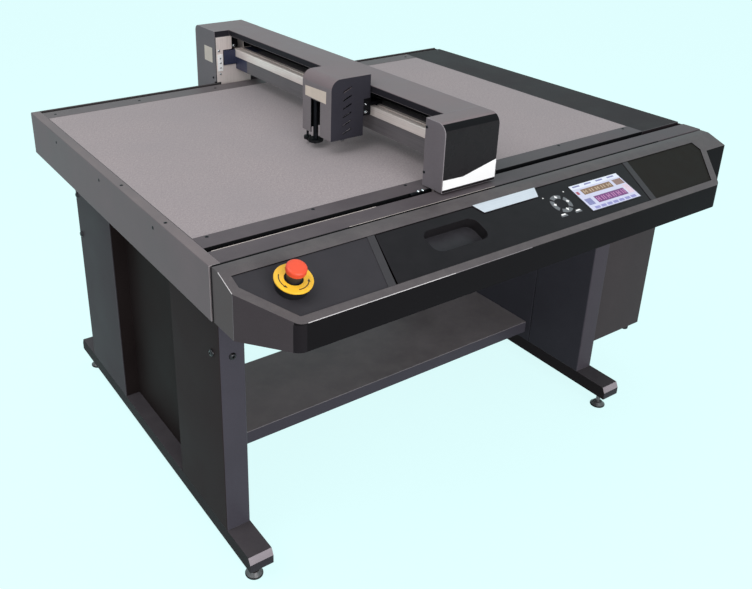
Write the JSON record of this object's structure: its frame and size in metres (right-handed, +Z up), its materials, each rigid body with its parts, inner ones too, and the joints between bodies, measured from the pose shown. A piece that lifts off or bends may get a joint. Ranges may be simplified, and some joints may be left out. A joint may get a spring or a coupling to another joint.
{
  "type": "flatbed die cutter",
  "caption": "Flatbed digital die cutter: suction bed on a stand, travelling gantry with a hooded tool head, sloping control console with a stop button, and a suction unit at one side.",
  "frame": {"origin": "middle of the footprint at floor level", "axes": "+X along the table to the operator's right, +Y away from the operator, +Z up"},
  "size_m": [1.5358, 1.329, 1.04],
  "materials": {
    "post_paint": "dark grey powder coat",
    "table_paint": "fine texture grey powder coat",
    "mat": "matt fibrous felt and rubber",
    "bare_aluminium": "satin anodised",
    "galvanised": "plain sheet steel",
    "bolt_steel": "bright zinc",
    "blade_steel": "ground steel",
    "black_steel": "black oxide",
    "belt_rubber": "matt toothed belt",
    "pulley_metal": "turned",
    "motor_paint": "satin",
    "console_paint": "fine texture grey",
    "panel_matt": "matt dark",
    "panel_gloss": "gloss black",
    "screen": "printed touch screen",
    "key_grey": "matt keys",
    "badge": "bare silver plate",
    "stop_black": "matt",
    "stop_yellow": "satin yellow",
    "stop_red": "satin red",
    "cabinet_paint": "dark grey powder coat"
  },
  "bodies": {
    "table": {"left_front_post": "post_paint", "left_rear_post": "post_paint", "right_front_post": "post_paint", "right_rear_post": "post_paint", "left_web_panel": "post_paint", "right_web_panel": "post_paint", "left_foot_beam": "post_paint", "right_foot_beam": "post_paint", "levelling_feet": "bolt_steel", "shelf": "post_paint", "stand_bolts": "bolt_steel", "table_frame": "post_paint", "vacuum_box": "galvanised", "bed_plate": "bare_aluminium", "cutting_mat": "mat", "left_side_rail": "table_paint", "right_side_rail": "table_paint", "front_outer_strip": "table_paint", "front_inner_strip": "table_paint", "rear_strip": "table_paint", "rear_fascia": "table_paint", "drive_cover": "table_paint", "cover_screws": "bolt_steel", "track_rails": "galvanised", "track_belts": "belt_rubber", "drive_brackets": "galvanised", "drive_motor": "motor_paint", "console_shell": "console_paint", "console_side_panels": "panel_matt", "console_centre_panel": "panel_gloss", "touch_screen": "screen", "console_keys": "key_grey", "name_plate": "badge", "estop_collar": "stop_black", "estop_ring": "stop_yellow", "pump_cabinet": "cabinet_paint", "vacuum_pump": "motor_paint"},
    "gantry": {"gantry_beam": "bare_aluminium", "head_rail": "bare_aluminium", "beam_cover": "table_paint", "front_cap": "table_paint", "rear_cap": "table_paint", "front_leg": "bare_aluminium", "rear_leg": "bare_aluminium", "gantry_trucks": "black_steel", "head_belt": "belt_rubber", "head_motor": "motor_paint"},
    "head": {"head_carriage": "black_steel", "head_hood": "table_paint"},
    "knife_tool": {"knife_holder": "bolt_steel"},
    "knife_blade": {"knife": "blade_steel"},
    "crease_tool": {"crease_holder": "black_steel"},
    "crease_roller": {"crease_wheel": "blade_steel"},
    "pen_tool": {"pen_holder": "bolt_steel"},
    "head_pulley": {"head_drive_pulley": "pulley_metal"},
    "head_idler_pulley": {"head_idler": "pulley_metal"},
    "table_shaft": {"drive_shaft": "bolt_steel"},
    "table_idlers": {"idler_pulleys": "pulley_metal"},
    "stop_neck": {"estop_stem": "stop_black"},
    "stop_mushroom": {"estop_cap": "stop_red"}
  },
  "joints": [
    {"name": "gantry_travel", "type": "slide", "parent": "table", "child": "gantry", "axis": [1, 0, 0], "range_m": [-0.455, 0.68]},
    {"name": "head_travel", "type": "slide", "parent": "gantry", "child": "head", "axis": [0, 1, 0], "range_m": [-0.245, 0.56]},
    {"name": "knife_drop", "type": "slide", "parent": "head", "child": "knife_tool", "axis": [0, 0, 1], "range_m": [-0.0055, 0]},
    {"name": "knife_turn", "type": "hinge", "parent": "knife_tool", "child": "knife_blade", "pos_m": [-0.2111, -0.1005, 0.9], "axis": [0, 0, 1], "continuous": true},
    {"name": "crease_drop", "type": "slide", "parent": "head", "child": "crease_tool", "axis": [0, 0, 1], "range_m": [-0.0055, 0]},
    {"name": "crease_wheel_spin", "type": "hinge", "parent": "crease_tool", "child": "crease_roller", "pos_m": [-0.2721, -0.0765, 0.871], "axis": [0, 1, 0], "continuous": true},
    {"name": "pen_drop", "type": "slide", "parent": "head", "child": "pen_tool", "axis": [0, 0, 1], "range_m": [-0.0055, 0]},
    {"name": "head_pulley_spin", "type": "hinge", "parent": "gantry", "child": "head_pulley", "pos_m": [-0.1181, 0.5945, 0.978], "axis": [1, 0, 0], "continuous": true},
    {"name": "head_idler_spin", "type": "hinge", "parent": "gantry", "child": "head_idler_pulley", "pos_m": [-0.1181, -0.4125, 0.978], "axis": [1, 0, 0], "continuous": true},
    {"name": "drive_shaft_spin", "type": "hinge", "parent": "table", "child": "table_shaft", "pos_m": [0.5979, 0.0395, 0.83], "axis": [0, 1, 0], "continuous": true},
    {"name": "idler_spin", "type": "hinge", "parent": "table", "child": "table_idlers", "pos_m": [-0.7271, 0.0395, 0.83], "axis": [0, 1, 0], "continuous": true},
    {"name": "stop_press", "type": "slide", "parent": "table", "child": "stop_neck", "axis": [0, -0.356, 0.9345], "range_m": [-0.0025, 0], "stiffness_N_per_m": 1500},
    {"name": "stop_twist", "type": "hinge", "parent": "stop_neck", "child": "stop_mushroom", "pos_m": [-0.6587, -0.60158, 0.86863], "axis": [0, -0.356, 0.9345], "range_deg": [0, 30], "stiffness_Nm_per_rad": 0.05}
  ],
  "couplings": [
    {"joint": "head_pulley_spin", "follows": "head_travel", "rad_per_m": -111.11},
    {"joint": "head_idler_spin", "follows": "head_travel", "rad_per_m": -111.11},
    {"joint": "drive_shaft_spin", "follows": "gantry_travel", "rad_per_m": 83.333},
    {"joint": "idler_spin", "follows": "gantry_travel", "rad_per_m": 83.333}
  ]
}
